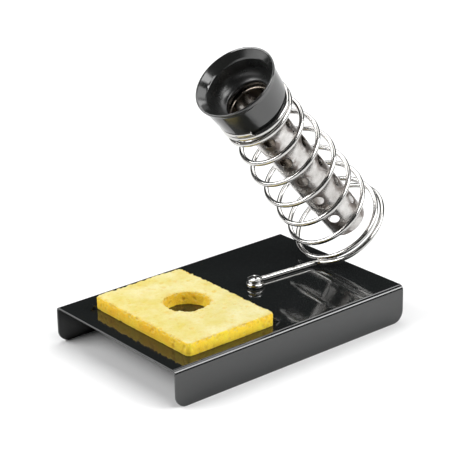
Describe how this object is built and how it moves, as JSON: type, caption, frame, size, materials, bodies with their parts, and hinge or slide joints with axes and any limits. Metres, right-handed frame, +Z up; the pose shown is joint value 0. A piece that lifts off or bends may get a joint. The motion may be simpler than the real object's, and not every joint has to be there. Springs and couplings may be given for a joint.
{
  "type": "soldering iron stand",
  "caption": "Bench stand for a soldering iron: a folded steel base with a wiping sponge, and a sprung wire holder whose moulded cup and perforated sleeve take the hot barrel.",
  "frame": {"origin": "on the floor, under the middle of the whole stand's box", "axes": "+Z up, +X along the base from the sponge towards the holder, +Y across the base; the cup leans back over the base towards -X"},
  "size_m": [0.1834, 0.1024, 0.1531],
  "materials": {
    "black_enamel": "glossy stoved black enamel on folded steel sheet",
    "cellulose_sponge": "dry open-pored yellow cellulose sponge",
    "plated_wire": "bright nickel-plated spring wire",
    "black_bakelite": "moulded black bakelite, semi-gloss",
    "sleeve_steel": "satin perforated steel tube",
    "zinc_plate": "bright zinc plate on hardware",
    "spring_steel": "plated split washer"
  },
  "bodies": {
    "base": {"base_plate": "black_enamel", "clamp_screw": "zinc_plate", "flat_washer": "zinc_plate", "lock_washer": "spring_steel", "hex_nut": "zinc_plate"},
    "sponge": {"sponge": "cellulose_sponge"},
    "holder": {"spring_wire": "plated_wire"},
    "head": {"cup": "black_bakelite", "heat_sleeve": "sleeve_steel"}
  },
  "joints": [
    {"name": "holder_swivel", "type": "hinge", "parent": "base", "child": "holder", "pos_m": [0.0036, 0.0012, 0.0222], "axis": [0, 0, 1], "range_deg": [-30, 30]},
    {"name": "head_sway", "type": "hinge", "parent": "holder", "child": "head", "pos_m": [0.03673, 0.00299, 0.07998], "axis": [0.0941, -0.9956, 0], "range_deg": [-5, 6], "stiffness_Nm_per_rad": 0.6, "springref_deg": -0.72, "deforming": ["spring_wire"]},
    {"name": "sponge_lift", "type": "slide", "parent": "base", "child": "sponge", "axis": [0, 0, 1], "range_m": [0, 0.04]}
  ]
}
